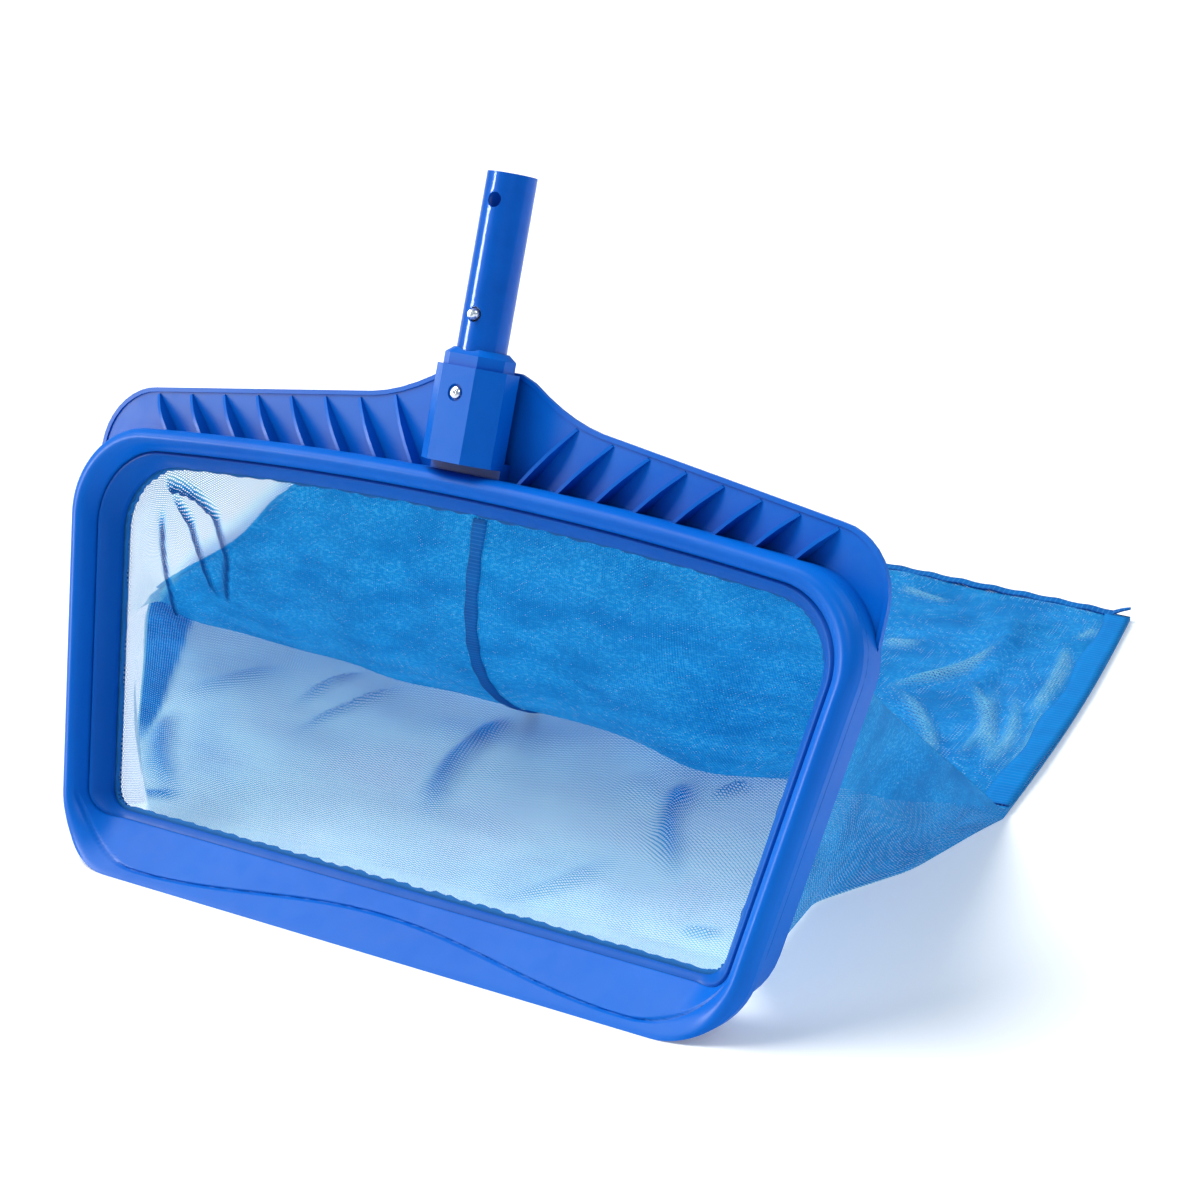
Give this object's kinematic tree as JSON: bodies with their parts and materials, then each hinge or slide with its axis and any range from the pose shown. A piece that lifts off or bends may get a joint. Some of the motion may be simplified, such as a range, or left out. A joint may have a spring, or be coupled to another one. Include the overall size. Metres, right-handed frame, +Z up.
{
  "type": "leaf skimmer net",
  "caption": "Deep-bag pool leaf skimmer: blue ribbed scoop frame leaning back on its lip, socket tube with snap buttons, mesh bag trailing behind.",
  "frame": {"origin": "middle of the flat under the scoop lip, on the floor", "axes": "+Z up, -Y out of the mouth, +Y along the trailing bag, +X to the right seen from the front"},
  "size_m": [0.8555, 0.753, 0.4208],
  "materials": {
    "frame_plastic": "smooth injection-moulded polypropylene, soft gloss",
    "tube_metal": "blue anodised aluminium tube",
    "bright_metal": "bright steel",
    "net_mesh": "open knitted nylon mesh",
    "net_tape": "stitched nylon tape"
  },
  "bodies": {
    "skimmer": {"front_bezel": "frame_plastic", "clamp_ring": "frame_plastic", "back_frame": "frame_plastic", "socket_tube": "tube_metal", "boss_rivet": "bright_metal", "clip_bend": "bright_metal", "net_mouth_hem": "net_tape", "net_top_panel": "net_mesh", "net_bottom_panel": "net_mesh", "net_left_side": "net_mesh", "net_right_side": "net_mesh", "net_centre_seam": "net_tape", "net_left_seam": "net_tape", "net_right_seam": "net_tape", "net_end_hem": "net_tape"},
    "front_snap": {"clip_front_arm": "bright_metal", "clip_front_button": "bright_metal"},
    "rear_snap": {"clip_rear_arm": "bright_metal", "clip_rear_button": "bright_metal"}
  },
  "joints": [
    {"name": "front_button_press", "type": "hinge", "parent": "skimmer", "child": "front_snap", "pos_m": [0, 0.11272, 0.3081], "axis": [-1, 0, 0], "range_deg": [0, 5.5], "stiffness_Nm_per_rad": 1.5, "springref_deg": -5.73},
    {"name": "rear_button_press", "type": "hinge", "parent": "skimmer", "child": "rear_snap", "pos_m": [0, 0.11953, 0.30579], "axis": [1, 0, 0], "range_deg": [0, 5.5], "stiffness_Nm_per_rad": 1.5, "springref_deg": -5.73}
  ]
}
